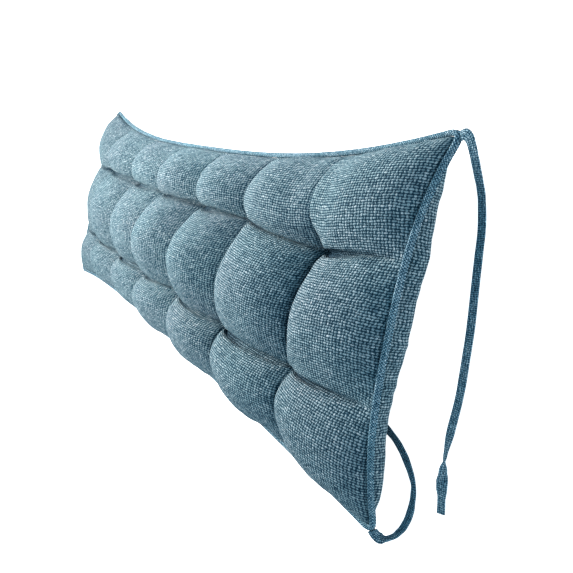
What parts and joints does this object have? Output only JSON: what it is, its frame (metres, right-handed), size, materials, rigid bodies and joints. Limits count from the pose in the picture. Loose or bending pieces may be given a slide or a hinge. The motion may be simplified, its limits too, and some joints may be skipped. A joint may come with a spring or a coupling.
{
  "type": "headboard cushion",
  "caption": "Long tufted headboard cushion in coarse blue-grey woven fabric, with a piped seam and tie straps at its right-hand corners.",
  "frame": {"origin": "middle of the cushion, on the surface that its back rests on", "axes": "+X along the length towards the end that has the ties, +Y towards the upper long edge, +Z out of the tufted face"},
  "size_m": [1.5795, 0.5134, 0.1488],
  "materials": {
    "cover": "matte",
    "piping": "matte",
    "tie": "matte"
  },
  "bodies": {
    "root": {"cushion": "cover", "piping": "piping", "tie_top": "tie", "tie_bottom": "tie"}
  },
  "joints": []
}
